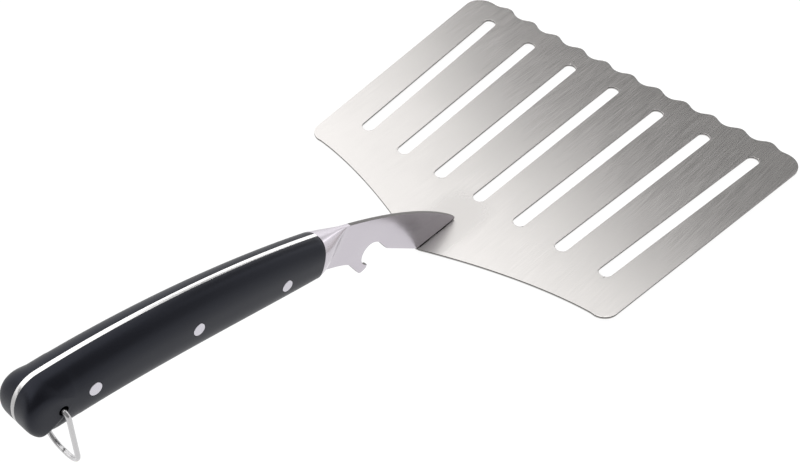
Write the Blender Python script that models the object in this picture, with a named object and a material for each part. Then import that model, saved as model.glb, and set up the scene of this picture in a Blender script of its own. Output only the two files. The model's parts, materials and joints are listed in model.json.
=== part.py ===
"""Grill spatula: a wide slotted turner blade under a one-piece neck, bolster and full tang,
with two riveted grip scales and a wire hanging ring.

Metres, +Z up. +X points from the grip to the scalloped front edge and +Y across the blade.
The origin is below the middle of the whole length, on the flat underside of the blade."""

import math

import bmesh
import bpy
from mathutils import Matrix, Vector

MM = 0.001
GAP = 0.3 * MM  # between pieces that touch

# Driving dimensions
LENGTH = 358.3 * MM
BLADE_FRONT_WIDTH = 200.6 * MM
SHEET = 1.2 * MM
TANG = 1.8 * MM
GRIP_FRONT_HALF = 7.3 * MM
GRIP_REAR_HALF = 9.1 * MM

# Blade
FLAT_HALF = 14.0 * MM  # half width of the flat strip down the middle
EDGE_RISE = 3.3 * MM  # the side edges curl up by this much
SIDE_FLARE = math.radians(5.6)  # each side edge opens towards the front
FRONT_X = LENGTH / 2
SCALLOP_DEPTH = 2.9 * MM
SCALLOP_PITCH = 16.0 * MM
SCALLOPS = 11
SCALLOP_POWER = 1.2  # more than 1 narrows the lobes
FRONT_CORNER = 10.0 * MM
REAR_CORNER = 7.0 * MM
REAR_X = 31.9 * MM  # rear edge beside its corners
TIP_X = 10.7 * MM  # the point of the sheet under the neck
REAR_CURVE = 1.7
CORNER_X = FRONT_X - SCALLOP_DEPTH + 0.2 * MM  # the front corners, square before they are rounded
CORNER_TUCK = 0.3 * MM
TIP_BLUNT = 0.6 * MM
BEND_STEP = 7.0 * MM

# Slots: equal in size, fanned out from the middle one
SLOTS = 7
SLOT_WIDTH = 6.2 * MM
SLOT_LENGTH = 112.2 * MM
SLOT_REAR_X = 52.2 * MM
SLOT_PITCH = 25.0 * MM  # measured half way along the slots
SLOT_FAN = math.radians(1.82)

# Weld tabs under the neck, through the sheet
TABS = (("rear", 16.0 * MM), ("front", 27.0 * MM))
TAB_LENGTH = 6.0 * MM
TAB_DEPTH = 0.45 * MM  # below the sheet's top face
WELD_DEPTH = 0.45 * MM
WELD_CORNER = 0.5 * MM

# Side view of the neck, tang and grip, x and z. The top runs in one sweep from tip to butt.
SPINE = ((37.6, 1.5), (-5.1, 45.2), (-98.1, 77.4), (-168.3, 83.3))
BUTT_TOP = ((-168.3, 83.3), (-174.8, 83.6), (-179.3, 78.2), (-179.15, 70.8))
BUTT_LOW = ((-179.15, 70.8), (-178.9, 66.5), (-176.6, 61.8), (-169.8, 61.1))
GRIP_LOW = ((-169.8, 61.1), (-134.3, 57.4), (-90.5, 44.3), (-54.0, 36.7))
JOINT_TOP = Vector((-48.3, 53.6)) * MM  # where scales and bolster meet
JOINT_LOW = Vector((-54.0, 36.7)) * MM
ARCH = ((-54.0, 36.7), (-44.5, 31.6), (-33.4, 27.2), (-31.0, 23.5))
HOOK_HEEL = (-25.5 * MM, 14.2 * MM, 2.2 * MM)  # a corner's x, z and radius
HOOK_TOE = (-21.6 * MM, 14.95 * MM, 0.8 * MM)
NOTCH_CENTRE = Vector((-18.8, 21.4)) * MM
NOTCH_RADIUS = 5.35 * MM
NOTCH_START, NOTCH_END = 246, 65  # degrees round its centre
NOTCH_SHOULDER = (-13.97 * MM, 25.05 * MM, 8.0 * MM)
NECK_SHOULDER = (-8.98 * MM, 16.95 * MM, 2.5 * MM)
HEEL = Vector((10.8, 1.5)) * MM
TIP_RADIUS = 0.9 * MM

# Bolster
BOLSTER_SIDE = 13.8 * MM  # length of the flare on the sides
BOLSTER_TOP = 19.5 * MM  # along the top
BOLSTER_LOW = 9.0 * MM  # and along the bottom
SHOULDER_SIDE = 0.8  # how far the flare is rounded out on the sides, 0 being straight
SHOULDER_END = 0.3  # and along the top and bottom
BOLSTER_CORE = 0.4 * TANG  # half thickness of the form's front end, inside the plate
ARCH_REACH = 18.9 * MM  # the form's lower line stops here
OVERLAP = 0.05 * MM  # the form stands proud of the plate's edge

# Exponents of the grip's rounded section: 2 is an ellipse, more is squarer
SECTION_TOP = 2.25
SECTION_LOW = 3.1
SECTION_BUTT = 7.0
SECTION_CORE = 12
BUTT_DEPTH = 17.5 * MM  # the butt rounds over this length
# Shares of the way down the butt where its section is fully square, starts to round and is round again
BUTT_SQUARE, BUTT_CORNER, BUTT_ROUND = 0.4, 0.75, 0.875

# Rivets, hanging hole and ring
RIVETS = (
    ("front", Vector((-70.7, 0, 48.9)) * MM),
    ("middle", Vector((-112.4, 0, 61.4)) * MM),
    ("rear", Vector((-154.8, 0, 69.9)) * MM),
)
HEAD_RADIUS = 2.5 * MM
HEAD_THICK = 1.2 * MM
HEAD_PROUD = 0.02 * MM
HEAD_CHAMFER = 0.15 * MM
BARREL_RADIUS = 2.0 * MM
PIN_RADIUS = 1.1 * MM
TUBE_REACH = 0.5  # shares of the depth from the middle to the head's inner face
PIN_REACH = 0.6
RIVET_GAP = 0.15 * MM
DRILL_REACH = 14.0 * MM
HOLE = Vector((-167.0, 0, 70.8)) * MM
HOLE_RADIUS = 1.8 * MM
WIRE_RADIUS = 0.9 * MM
WIRE_DROP = 0.38 * MM  # the wire hangs this far below the hole's centre
RING_TOP_HALF = 11.0 * MM
RING_LOW_HALF = 8.0 * MM
RING_HEIGHT = 31.2 * MM
RING_TOP_CORNER = 2.8 * MM
RING_LOW_CORNER = 7.5 * MM
RING_SEAM = 0.4 * MM  # the wire's ends stop this far apart


def clear_scene():
    for obj in list(bpy.data.objects):
        bpy.data.objects.remove(obj, do_unlink=True)


def material(name, colour, metallic, roughness):
    mat = bpy.data.materials.new(name)
    mat.use_nodes = True
    shader = mat.node_tree.nodes["Principled BSDF"]
    shader.inputs["Base Color"].default_value = (*colour, 1.0)
    shader.inputs["Metallic"].default_value = metallic
    shader.inputs["Roughness"].default_value = roughness
    mat.diffuse_color = (*colour, 1.0)
    return mat


def finish_mesh(name, bm, mat, smooth_angle=35.0):
    """The bmesh as a named object, with outward normals and smooth round faces."""
    bmesh.ops.recalc_face_normals(bm, faces=bm.faces)
    mesh = bpy.data.meshes.new(name)
    bm.to_mesh(mesh)
    bm.free()
    mesh.materials.append(mat)
    mesh.shade_smooth()
    mesh.set_sharp_from_angle(angle=math.radians(smooth_angle))
    obj = bpy.data.objects.new(name, mesh)
    bpy.context.scene.collection.objects.link(obj)
    return obj


def as_cutter(obj):
    obj.hide_render = True
    obj.display_type = "WIRE"
    return obj


def boolean(obj, other, operation):
    modifier = obj.modifiers.new(f"{operation.title()} {other.name}", "BOOLEAN")
    modifier.operation = operation
    modifier.solver = "EXACT"
    modifier.object = other
    as_cutter(other)


# Curves


def bezier(points, count, scale=MM):
    """count + 1 points along a cubic, ends included."""
    a, b, c, d = (Vector(p) * scale for p in points)
    line = []
    for i in range(count + 1):
        t = i / count
        s = 1 - t
        line.append(a * s**3 + b * 3 * s * s * t + c * 3 * s * t * t + d * t**3)
    return line


def arc(centre, radius, start, end, count):
    """count + 1 points on a circle, from one angle to the other in degrees."""
    angles = [math.radians(start + (end - start) * i / count) for i in range(count + 1)]
    return [centre + Vector((math.cos(a), math.sin(a))) * radius for a in angles]


def rounded(corners, segments=6, closed=True):
    """A polygon of (x, y, radius) corners with each corner rounded."""
    line = []
    count = len(corners)
    for i, (x, y, radius) in enumerate(corners):
        here = Vector((x, y))
        if radius <= 0 or (not closed and i in (0, count - 1)):
            line.append(here)
            continue
        before = (Vector(corners[i - 1][:2]) - here).normalized()
        after = (Vector(corners[(i + 1) % count][:2]) - here).normalized()
        half = before.angle(after) / 2
        centre = here + (before + after).normalized() * radius / math.sin(half)
        first = here + before * radius / math.tan(half) - centre
        turn = first.angle_signed(here + after * radius / math.tan(half) - centre)
        line += [centre + Matrix.Rotation(-turn * k / segments, 2) @ first for k in range(segments + 1)]
    return line


def joined(start, corners, end, segments=6):
    """The rounded corners of an open line from start to end, without those two points."""
    return rounded([(*start, 0), *corners, (*end, 0)], segments, closed=False)[1:-1]


def without_repeats(line, closest=0.02 * MM):
    kept = [line[0]]
    for point in line[1:]:
        if (point - kept[-1]).length > closest:
            kept.append(point)
    if (kept[0] - kept[-1]).length <= closest:
        kept.pop()
    return kept


def mix(a, b, t):
    return a + (b - a) * t


def prism(line, low, high, place):
    """A closed outline pushed from low to high; place(u, v, w) gives each point."""
    bm = bmesh.new()
    bottom = [bm.verts.new(place(p.x, p.y, low)) for p in line]
    top = [bm.verts.new(place(p.x, p.y, high)) for p in line]
    bm.faces.new(bottom[::-1])
    bm.faces.new(top)
    for i in range(len(line)):
        j = (i + 1) % len(line)
        bm.faces.new((bottom[i], bottom[j], top[j], top[i]))
    return bm


def side_view(x, z, y):
    return Vector((x, y, z))


def turned(profile, segments, origin):
    """A solid of revolution about the Y direction through origin, from (radius, y) pairs."""
    bm = bmesh.new()
    rings = []
    for radius, y in profile:
        if radius == 0:
            rings.append([bm.verts.new(origin + Vector((0, y, 0)))])
            continue
        angles = [2 * math.pi * i / segments for i in range(segments)]
        rings.append(
            [bm.verts.new(origin + Vector((radius * math.cos(a), y, radius * math.sin(a)))) for a in angles]
        )
    for first, second in zip(rings, rings[1:]):
        for i in range(segments):
            j = (i + 1) % segments
            quad = [first[i % len(first)], first[j % len(first)], second[j % len(second)], second[i % len(second)]]
            bm.faces.new(list(dict.fromkeys(quad)))
    return bm


# Blade


def side_y(x):
    """Half width of the blade at x, along its straight side edge."""
    return BLADE_FRONT_WIDTH / 2 - (FRONT_X - FRONT_CORNER - x) * math.tan(SIDE_FLARE)


def scallop_x(y):
    """The front edge: round lobes with narrow hollows between them."""
    wave = (1 + math.cos(2 * math.pi * y / SCALLOP_PITCH)) / 2
    return FRONT_X - SCALLOP_DEPTH * (1 - wave**SCALLOP_POWER)


def rear_x(y):
    """The hollow rear edge, from beside a corner in to the tip."""
    corner_y = side_y(REAR_X) - REAR_CORNER
    inward = max(0.0, (corner_y - abs(y)) / corner_y)
    return REAR_X - (REAR_X - TIP_X) * inward**REAR_CURVE


def blade_outline():
    """Anticlockwise from the middle of the front edge."""
    half = []
    edge_y = (SCALLOPS - 0.5) / 2 * SCALLOP_PITCH + SCALLOP_PITCH / 4
    steps = SCALLOPS * 4 + 1
    for i in range(steps + 1):
        y = edge_y * i / steps
        half.append(Vector((scallop_x(y), y)))
    inboard_y = side_y(REAR_X) * 0.8
    corners = [
        (CORNER_X, side_y(CORNER_X) - CORNER_TUCK, FRONT_CORNER),
        (REAR_X, side_y(REAR_X), REAR_CORNER),
    ]
    half += joined(half[-1], corners, (rear_x(inboard_y), inboard_y), segments=8)
    start_y = half[-1].y
    bends = 14
    for i in range(1, bends):
        y = start_y * (1 - i / bends)
        half.append(Vector((rear_x(y), y)))
    tip = Vector((TIP_X + TIP_BLUNT, 0))
    mirrored = [Vector((p.x, -p.y)) for p in reversed(half[1:])]
    return without_repeats(half + [tip] + mirrored)


def slot_outline(index):
    """The round-ended slot, index counted from the middle one."""
    radius = SLOT_WIDTH / 2
    reach = SLOT_LENGTH / 2 - radius
    middle = Vector((SLOT_REAR_X + SLOT_LENGTH / 2, index * SLOT_PITCH))
    turn = Matrix.Rotation(-index * SLOT_FAN, 2)
    ends = arc(Vector((reach, 0)), radius, -90, 90, 8) + arc(Vector((-reach, 0)), radius, 90, 270, 8)
    return [middle + turn.inverted() @ p for p in ends]


def tab_outline(x, margin):
    """The rectangle of one weld tab in the sheet's plane, grown by a margin."""
    half_length = TAB_LENGTH / 2 + margin
    half_width = TANG / 2 + margin
    return [Vector((x + sx * half_length, sy * half_width)) for sx, sy in ((-1, -1), (1, -1), (1, 1), (-1, 1))]


def dish(y):
    """Height of the sheet: flat down the middle, curling up to the side edges."""
    out = max(0.0, abs(y) - FLAT_HALF)
    return EDGE_RISE * (out / (BLADE_FRONT_WIDTH / 2 - FLAT_HALF)) ** 2


def make_blade(mat):
    bm = bmesh.new()
    loops = [blade_outline()]
    loops += [slot_outline(i - SLOTS // 2) for i in range(SLOTS)]
    loops += [tab_outline(x, GAP) for _, x in TABS]
    for line in loops:
        verts = [bm.verts.new((p.x, p.y, 0)) for p in line]
        for a, b in zip(verts, verts[1:] + verts[:1]):
            bm.edges.new((a, b))
    bmesh.ops.triangle_fill(bm, edges=bm.edges[:], use_beauty=True)
    bends = int((BLADE_FRONT_WIDTH / 2 - FLAT_HALF) / BEND_STEP)
    for side in (-1, 1):
        for i in range(bends + 1):
            bmesh.ops.bisect_plane(
                bm,
                geom=bm.verts[:] + bm.edges[:] + bm.faces[:],
                plane_co=(0, side * (FLAT_HALF + i * BEND_STEP), 0),
                plane_no=(0, 1, 0),
                dist=1e-6,
            )
    made = bmesh.ops.extrude_face_region(bm, geom=bm.faces[:])
    for vert in made["geom"]:
        if isinstance(vert, bmesh.types.BMVert):
            vert.co.z += SHEET
    for vert in bm.verts:
        vert.co.z += dish(vert.co.y)
    return finish_mesh("blade", bm, mat, 20.0)


def make_weld(name, x, mat):
    """The plug weld that fills the sheet's opening under one tab."""
    line = rounded([(p.x, p.y, WELD_CORNER) for p in tab_outline(x, 0)], segments=3)
    bm = prism(line, 0, WELD_DEPTH, lambda u, v, w: Vector((u, v, w)))
    return finish_mesh(name, bm, mat)


# Grip sections


def grip_lines(count):
    """Matching points along the grip's top and bottom, from the bolster joint to the butt."""
    spine = bezier(SPINE, 400)
    start = min(range(401), key=lambda i: (spine[i] - JOINT_TOP).length)
    top = [spine[start + (400 - start) * i // count] for i in range(count + 1)]
    top[0] = JOINT_TOP
    low = bezier(GRIP_LOW, count)[::-1]
    low[0] = JOINT_LOW
    return top, low


def grip_half(x):
    """Half thickness of the grip at x."""
    share = (JOINT_TOP.x - x) / (JOINT_TOP.x + LENGTH / 2)
    share = min(1.0, max(0.0, share))
    return mix(GRIP_FRONT_HALF, GRIP_REAR_HALF, math.sin(share * math.pi / 2))


def superellipse(v, exponent):
    """Share of the half thickness at v: 0 in the middle of the section, 1 or -1 at its outline."""
    return (1 - abs(v) ** exponent) ** (1 / exponent)


def smooth(t):
    t = min(1.0, max(0.0, t))
    return t * t * (3 - 2 * t)


def tang_outline():
    """The side view of neck, bolster and tang in one closed line."""
    top = bezier(SPINE, 46)
    butt = bezier(BUTT_TOP, 8) + bezier(BUTT_LOW, 6)
    low = bezier(GRIP_LOW, 16)
    arch = bezier(ARCH, 10)
    notch = arc(NOTCH_CENTRE, NOTCH_RADIUS, NOTCH_START, NOTCH_END, 18)
    hook = joined(arch[-1], [HOOK_HEEL, HOOK_TOE], notch[0])
    shoulder = joined(notch[-1], [NOTCH_SHOULDER, NECK_SHOULDER], HEEL) + [HEEL]
    base = []
    for _, x in TABS:
        for sx, z in ((-1, SHEET + GAP), (-1, SHEET - TAB_DEPTH), (1, SHEET - TAB_DEPTH), (1, SHEET + GAP)):
            base.append(Vector((x + sx * TAB_LENGTH / 2, z)))
    tip = joined(base[-1], [(*top[0], TIP_RADIUS)], top[1])
    return without_repeats(top[1:] + butt + low + arch + hook + notch + shoulder + base + tip)


def bolster_mesh():
    """The flare ahead of the scales: the grip's section, ground down to a crease on the plate."""
    bm = bmesh.new()
    axis = JOINT_TOP - JOINT_LOW
    forward = Vector((axis.y, -axis.x)).normalized()
    spine = bezier(SPINE, 400)
    arch = bezier(ARCH, 200)
    rings = []
    stations, rows = 12, 10
    for i in range(stations + 1):
        ahead = BOLSTER_TOP * i / stations
        top = min(spine, key=lambda p: abs((p - JOINT_TOP).dot(forward) - ahead))
        low = min(arch, key=lambda p: abs((p - JOINT_LOW).dot(forward) - min(ahead, ARCH_REACH)))
        top = top + Vector((0, OVERLAP))
        low = low - Vector((0, OVERLAP))
        ring = []
        for side, steps in ((1, range(rows + 1)), (-1, range(1, rows))):
            for k in steps:
                v = math.cos(math.pi * k / rows) * side
                length = mix(BOLSTER_SIDE, BOLSTER_TOP if v > 0 else BOLSTER_LOW, abs(v) ** 1.6)
                left = max(0.0, 1 - ahead / length)
                fade = left * (1 + mix(SHOULDER_SIDE, SHOULDER_END, abs(v)) * (1 - left))
                core = BOLSTER_CORE * superellipse(v, SECTION_CORE)
                full = superellipse(v, SECTION_TOP if v > 0 else SECTION_LOW) * (GRIP_FRONT_HALF - core)
                point = mix((top + low) / 2, top if v > 0 else low, abs(v))
                ring.append(bm.verts.new((point.x, side * (core + full * fade), point.y)))
        rings.append(ring)
    for first, second in zip(rings, rings[1:]):
        for k in range(len(first)):
            m = (k + 1) % len(first)
            bm.faces.new((first[k], first[m], second[m], second[k]))
    bm.faces.new(rings[0])
    bm.faces.new(rings[-1][::-1])
    return bm


def drill(name, centre, radius, mat, segments=20):
    """A cutter right through the grip."""
    profile = [(0, -DRILL_REACH), (radius, -DRILL_REACH), (radius, DRILL_REACH), (0, DRILL_REACH)]
    return finish_mesh(name, turned(profile, segments, centre), mat)


def make_neck_tang(mat):
    outline = tang_outline()
    neck = finish_mesh("neck_tang", prism(outline, -TANG / 2, TANG / 2, side_view), mat)
    boolean(neck, finish_mesh("bolster_form", bolster_mesh(), mat), "UNION")
    for name, centre in RIVETS:
        boolean(neck, drill(f"tang_drill_{name}", centre, BARREL_RADIUS + RIVET_GAP, mat), "DIFFERENCE")
    boolean(neck, drill("tang_drill_hang", HOLE, HOLE_RADIUS, mat), "DIFFERENCE")
    return neck


def scale_surface(stations, butt_steps, rows):
    """Rows of points from the outline in to the middle line, for the +Y side."""
    top, low = grip_lines(stations)
    shift = (JOINT_TOP - JOINT_LOW).normalized()
    back = Vector((-shift.y, shift.x)) * GAP
    top[0] = top[0] + back
    low[0] = low[0] + back
    last = Vector((BUTT_DEPTH - LENGTH / 2, mix(top[-1].y, low[-1].y, 0.5)))
    ribs = []
    for i in range(stations + 1):
        middle = mix(top[i], low[i], 0.5)
        if middle.x < last.x:
            middle = last
        ribs.append((top[i], middle, SECTION_TOP))
    butt = bezier(BUTT_TOP, butt_steps)[1:] + bezier(BUTT_LOW, butt_steps)[1:-1]
    for i, point in enumerate(butt):
        down = (i + 1) / (len(butt) + 1)
        square = smooth(down / BUTT_SQUARE) * smooth((BUTT_ROUND - down) / (BUTT_ROUND - BUTT_CORNER)) ** 2
        ribs.append((point, last, mix(SECTION_TOP if down < BUTT_SQUARE else SECTION_LOW, SECTION_BUTT, square)))
    for i in range(stations, -1, -1):
        ribs.append((low[i], ribs[i][1], SECTION_LOW))
    inner = TANG / 2 + GAP
    lines = []
    for outer, middle, exponent in ribs:
        line = []
        for k in range(rows + 1):
            inward = (k / rows) ** max(2.0, exponent - 1.2)
            point = mix(outer, middle, inward)
            half = grip_half(point.x)
            y = mix(inner, half, superellipse(1 - inward, exponent))
            line.append(Vector((point.x, y, point.y)))
        lines.append(line)
    return lines


def make_scale(name, side, mat):
    lines = scale_surface(stations=20, butt_steps=8, rows=8)
    bm = bmesh.new()
    grid = [[bm.verts.new((p.x, p.y * side, p.z)) for p in line] for line in lines]
    for first, second in zip(grid, grid[1:]):
        for k in range(len(first) - 1):
            bm.faces.new((first[k], first[k + 1], second[k + 1], second[k]))
    front = grid[0] + grid[-1][::-1]
    bm.faces.new(front)
    bm.faces.new([line[0] for line in grid])
    bmesh.ops.remove_doubles(bm, verts=bm.verts[:], dist=0.005 * MM)
    bmesh.ops.dissolve_degenerate(bm, edges=bm.edges[:], dist=0.005 * MM)
    scale = finish_mesh(name, bm, mat, 50.0)
    for rivet, centre in RIVETS:
        seat = (grip_half(centre.x) - HEAD_THICK - RIVET_GAP) * side
        reach = DRILL_REACH * side
        wide = HEAD_RADIUS + RIVET_GAP
        narrow = BARREL_RADIUS + RIVET_GAP
        steps = [(0, 0), (narrow, 0), (narrow, seat), (wide, seat), (wide, reach), (0, reach)]
        boolean(scale, finish_mesh(f"{name}_bore_{rivet}", turned(steps, 24, centre), mat), "DIFFERENCE")
    boolean(scale, bpy.data.objects["tang_drill_hang"], "DIFFERENCE")
    return scale


def make_rivet(name, centre, mat):
    """Two halves pressed together: the +Y half is a tube, the -Y half ends in a pin."""
    face = grip_half(centre.x) + HEAD_PROUD
    neck = face - HEAD_THICK
    bore = PIN_RADIUS + RIVET_GAP
    tube = [
        (0, face),
        (HEAD_RADIUS - HEAD_CHAMFER, face),
        (HEAD_RADIUS, face - HEAD_CHAMFER),
        (HEAD_RADIUS, neck),
        (BARREL_RADIUS, neck),
        (BARREL_RADIUS, -TUBE_REACH * neck),
        (bore, -TUBE_REACH * neck),
        (bore, PIN_REACH * neck),
        (0, PIN_REACH * neck),
    ]
    finish_mesh(f"rivet_{name}_tube", turned(tube, 24, centre), mat)
    pin = [
        (0, -face),
        (HEAD_RADIUS - HEAD_CHAMFER, -face),
        (HEAD_RADIUS, HEAD_CHAMFER - face),
        (HEAD_RADIUS, -neck),
        (BARREL_RADIUS, -neck),
        (BARREL_RADIUS, -TUBE_REACH * neck - GAP),
        (PIN_RADIUS, -TUBE_REACH * neck - GAP),
        (PIN_RADIUS, PIN_REACH * neck - GAP),
        (0, PIN_REACH * neck - GAP),
    ]
    finish_mesh(f"rivet_{name}_pin", turned(pin, 24, centre), mat)


# Hanging ring


def ring_line():
    """The wire's centre line in its own plane, y and z from the swing axis; it starts at the seam."""
    corners = [
        (RING_LOW_HALF, -RING_HEIGHT, RING_LOW_CORNER),
        (RING_TOP_HALF, 0, RING_TOP_CORNER),
        (-RING_TOP_HALF, 0, RING_TOP_CORNER),
        (-RING_LOW_HALF, -RING_HEIGHT, RING_LOW_CORNER),
    ]
    line = rounded(corners, segments=8)
    seam = mix(line[0], line[-1], 0.5)
    along = (line[0] - line[-1]).normalized() * RING_SEAM / 2
    return [seam + along] + line + [seam - along]


def make_ring(mat):
    hanger = bpy.data.objects.new("ring_axis", None)
    hanger.location = HOLE - Vector((0, 0, WIRE_DROP))
    bpy.context.scene.collection.objects.link(hanger)
    curve = bpy.data.curves.new("hang_ring", "CURVE")
    curve.dimensions = "3D"
    curve.bevel_depth = WIRE_RADIUS
    curve.bevel_resolution = 3
    curve.use_fill_caps = True
    line = ring_line()
    spline = curve.splines.new("POLY")
    spline.points.add(len(line) - 1)
    for point, target in zip(spline.points, line):
        point.co = (0, target.x, target.y, 1)
    spline.use_smooth = True
    curve.materials.append(mat)
    ring = bpy.data.objects.new("hang_ring", curve)
    bpy.context.scene.collection.objects.link(ring)
    ring.parent = hanger


def main():
    clear_scene()
    steel = material("brushed_steel", (0.62, 0.60, 0.58), 1.0, 0.28)
    forged = material("satin_steel", (0.60, 0.58, 0.59), 1.0, 0.22)
    black = material("black_polymer", (0.022, 0.023, 0.03), 0.0, 0.38)
    pin_steel = material("rivet_steel", (0.72, 0.71, 0.73), 1.0, 0.3)
    wire = material("wire_steel", (0.68, 0.67, 0.66), 1.0, 0.2)
    make_blade(steel)
    make_neck_tang(forged)
    for name, x in TABS:
        make_weld(f"weld_{name}", x, steel)
    make_scale("scale_left", 1, black)
    make_scale("scale_right", -1, black)
    for name, centre in RIVETS:
        make_rivet(name, centre, pin_steel)
    make_ring(wire)


main()
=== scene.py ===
"""The look of a grill spatula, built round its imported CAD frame.

Each surface that shows is a finer mesh than its CAD solid, with a procedural finish, in the frame's
own metres. +X points from the grip to the scalloped front edge, +Y across the blade and +Z up."""

import json
import math

import bmesh
import bpy
from mathutils import Matrix, Quaternion, Vector
from mathutils.bvhtree import BVHTree


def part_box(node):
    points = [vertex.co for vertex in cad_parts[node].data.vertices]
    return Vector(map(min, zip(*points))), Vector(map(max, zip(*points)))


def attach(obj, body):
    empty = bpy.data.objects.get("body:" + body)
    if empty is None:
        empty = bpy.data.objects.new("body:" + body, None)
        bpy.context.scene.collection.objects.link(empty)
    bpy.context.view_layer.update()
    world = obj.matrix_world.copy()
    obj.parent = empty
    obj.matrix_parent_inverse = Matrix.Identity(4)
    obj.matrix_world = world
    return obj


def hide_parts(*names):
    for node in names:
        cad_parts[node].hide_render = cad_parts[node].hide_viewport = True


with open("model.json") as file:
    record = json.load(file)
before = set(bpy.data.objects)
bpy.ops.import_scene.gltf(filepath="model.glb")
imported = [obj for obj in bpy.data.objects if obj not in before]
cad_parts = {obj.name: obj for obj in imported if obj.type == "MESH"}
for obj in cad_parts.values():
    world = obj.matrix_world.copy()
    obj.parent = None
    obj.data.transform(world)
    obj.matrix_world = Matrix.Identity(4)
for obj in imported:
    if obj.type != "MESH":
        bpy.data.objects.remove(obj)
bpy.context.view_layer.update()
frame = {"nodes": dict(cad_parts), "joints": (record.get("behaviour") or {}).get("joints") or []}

MM = 0.001

# Sizes that the CAD solids share
FRONT_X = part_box("blade")[1].x
REST_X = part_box("neck_tang")[0].x
BLADE_FRONT_WIDTH = 200.6 * MM
SHEET = 1.2 * MM
TANG = 1.8 * MM
GRIP_FRONT_HALF = 7.3 * MM
GRIP_REAR_HALF = 9.1 * MM
FLAT_HALF = 14.0 * MM
EDGE_RISE = 3.3 * MM
SIDE_FLARE = math.radians(5.6)
SCALLOP_DEPTH = 2.9 * MM
SCALLOP_PITCH = 16.0 * MM
SCALLOPS = 11
SCALLOP_POWER = 1.2
CORNER_X = FRONT_X - SCALLOP_DEPTH + 0.2 * MM
CORNER_TUCK = 0.3 * MM
FRONT_CORNER = 10.0 * MM
REAR_CORNER = 7.0 * MM
REAR_X = 31.9 * MM
TIP_X = 10.7 * MM
REAR_CURVE = 1.7
TIP_BLUNT = 0.4 * MM
SLOTS = 7
SLOT_WIDTH = 6.2 * MM
SLOT_LENGTH = 112.2 * MM
SLOT_REAR_X = 52.2 * MM
SLOT_PITCH = 25.0 * MM
SLOT_FAN = math.radians(1.82)
TABS = (16.0 * MM, 27.0 * MM)
TAB_LENGTH = 6.0 * MM
TAB_DEPTH = 0.45 * MM
TAB_MARGIN = 0.1 * MM  # the mortise is this much larger than its tab all round
BLADE_EDGE = 0.14 * MM  # the rounding of the sheet's arrises
DISH_STEP = 2.5 * MM  # the curled sides are divided this often
BLADE_WALL = 0.6  # a face whose normal rises less than this belongs to a punched edge
BURNISH_SHARE = 0.55  # the height, as a share of the sheet, where a punched edge turns bright
DRESSED_X = (60.0 * MM, 38.0 * MM)  # where the hand-dressed patch by the weld ends and is full
DRESSED_Y = (16.0 * MM, 3.0 * MM)
DRESSED_ROUGHNESS = 0.2

# Side view, x and z in millimetres
SPINE = ((37.6, 1.5), (-5.1, 45.2), (-98.1, 77.4), (-168.3, 83.3))
BUTT_TOP = ((-168.3, 83.3), (-174.8, 83.6), (-179.3, 78.2), (-179.15, 70.8))
BUTT_LOW = ((-179.15, 70.8), (-178.9, 66.5), (-176.6, 61.8), (-169.8, 61.1))
GRIP_LOW = ((-169.8, 61.1), (-134.3, 57.4), (-90.5, 44.3), (-54.0, 36.7))
JOINT_TOP = Vector((-48.3, 53.6)) * MM
JOINT_LOW = Vector((-54.0, 36.7)) * MM
ARCH = ((-54.0, 36.7), (-44.5, 31.6), (-33.4, 27.2), (-31.0, 23.5))
HOOK_HEEL = (-25.5 * MM, 14.2 * MM, 2.2 * MM)  # a corner's x, z and radius
HOOK_TOE = (-21.6 * MM, 14.95 * MM, 0.8 * MM)
NOTCH_CENTRE = Vector((-18.8, 21.4)) * MM
NOTCH_RADIUS = 5.35 * MM
NOTCH_START, NOTCH_END = 246, 65  # degrees round its centre
NOTCH_SHOULDER = (-13.97 * MM, 25.05 * MM, 8.0 * MM)
NECK_SHOULDER = (-8.98 * MM, 16.95 * MM, 2.5 * MM)
HEEL = Vector((10.8, 1.5)) * MM
TIP_RADIUS = 0.9 * MM
CONTACT_SHADE_HEIGHT = 0.35 * MM  # the height of the dark band of painted shade along the neck's base, where it meets the blade
DARK_EDGE_X = -30.5 * MM  # ahead of here the plate's edge is rougher and coloured darker
PLATE_EDGE = 0.1 * MM  # the rounding of the plate's arrises
PLATE_WALL = 0.9  # a face whose normal leans sideways less than this belongs to the plate's edge

# Bolster and grip
BOLSTER_SIDE = 13.8 * MM
BOLSTER_TOP = 19.5 * MM
BOLSTER_LOW = 9.0 * MM
SHOULDER_SIDE = 0.8  # how far the flare is rounded out on the sides, 0 being straight
SHOULDER_END = 0.3  # and along the top and bottom
FLARE_POWER = 1.6  # how late the flare's length changes from the sides' to the top's and bottom's
BOLSTER_RIM = 0.12 * MM  # the rounding where the bolster meets the grip
BOLSTER_PROUD = 0.05 * MM  # the bolster stands this much past the plate's outline at the grip
BOLSTER_SUNK = 0.2 * MM  # and ends this far inside it
BOLSTER_ARCH_SHARE = 0.9  # how much of the flare's length the underside follows
CORE_HALF = 0.4 * TANG  # the flare starts inside the plate
CORE_POWER = 12
SECTION_TOP = 2.25
SECTION_LOW = 3.1
SECTION_BUTT = 7.0
BUTT_DEPTH = 17.5 * MM
BUTT_SQUARE, BUTT_CORNER, BUTT_ROUND = 0.4, 0.75, 0.875  # shares of the way down the butt
SEAM = 0.03 * MM  # the fine joint round each scale
ROW_POWER = 2.8  # rows crowd toward the outline, where the section turns fastest
MERGE = 0.004 * MM

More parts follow.
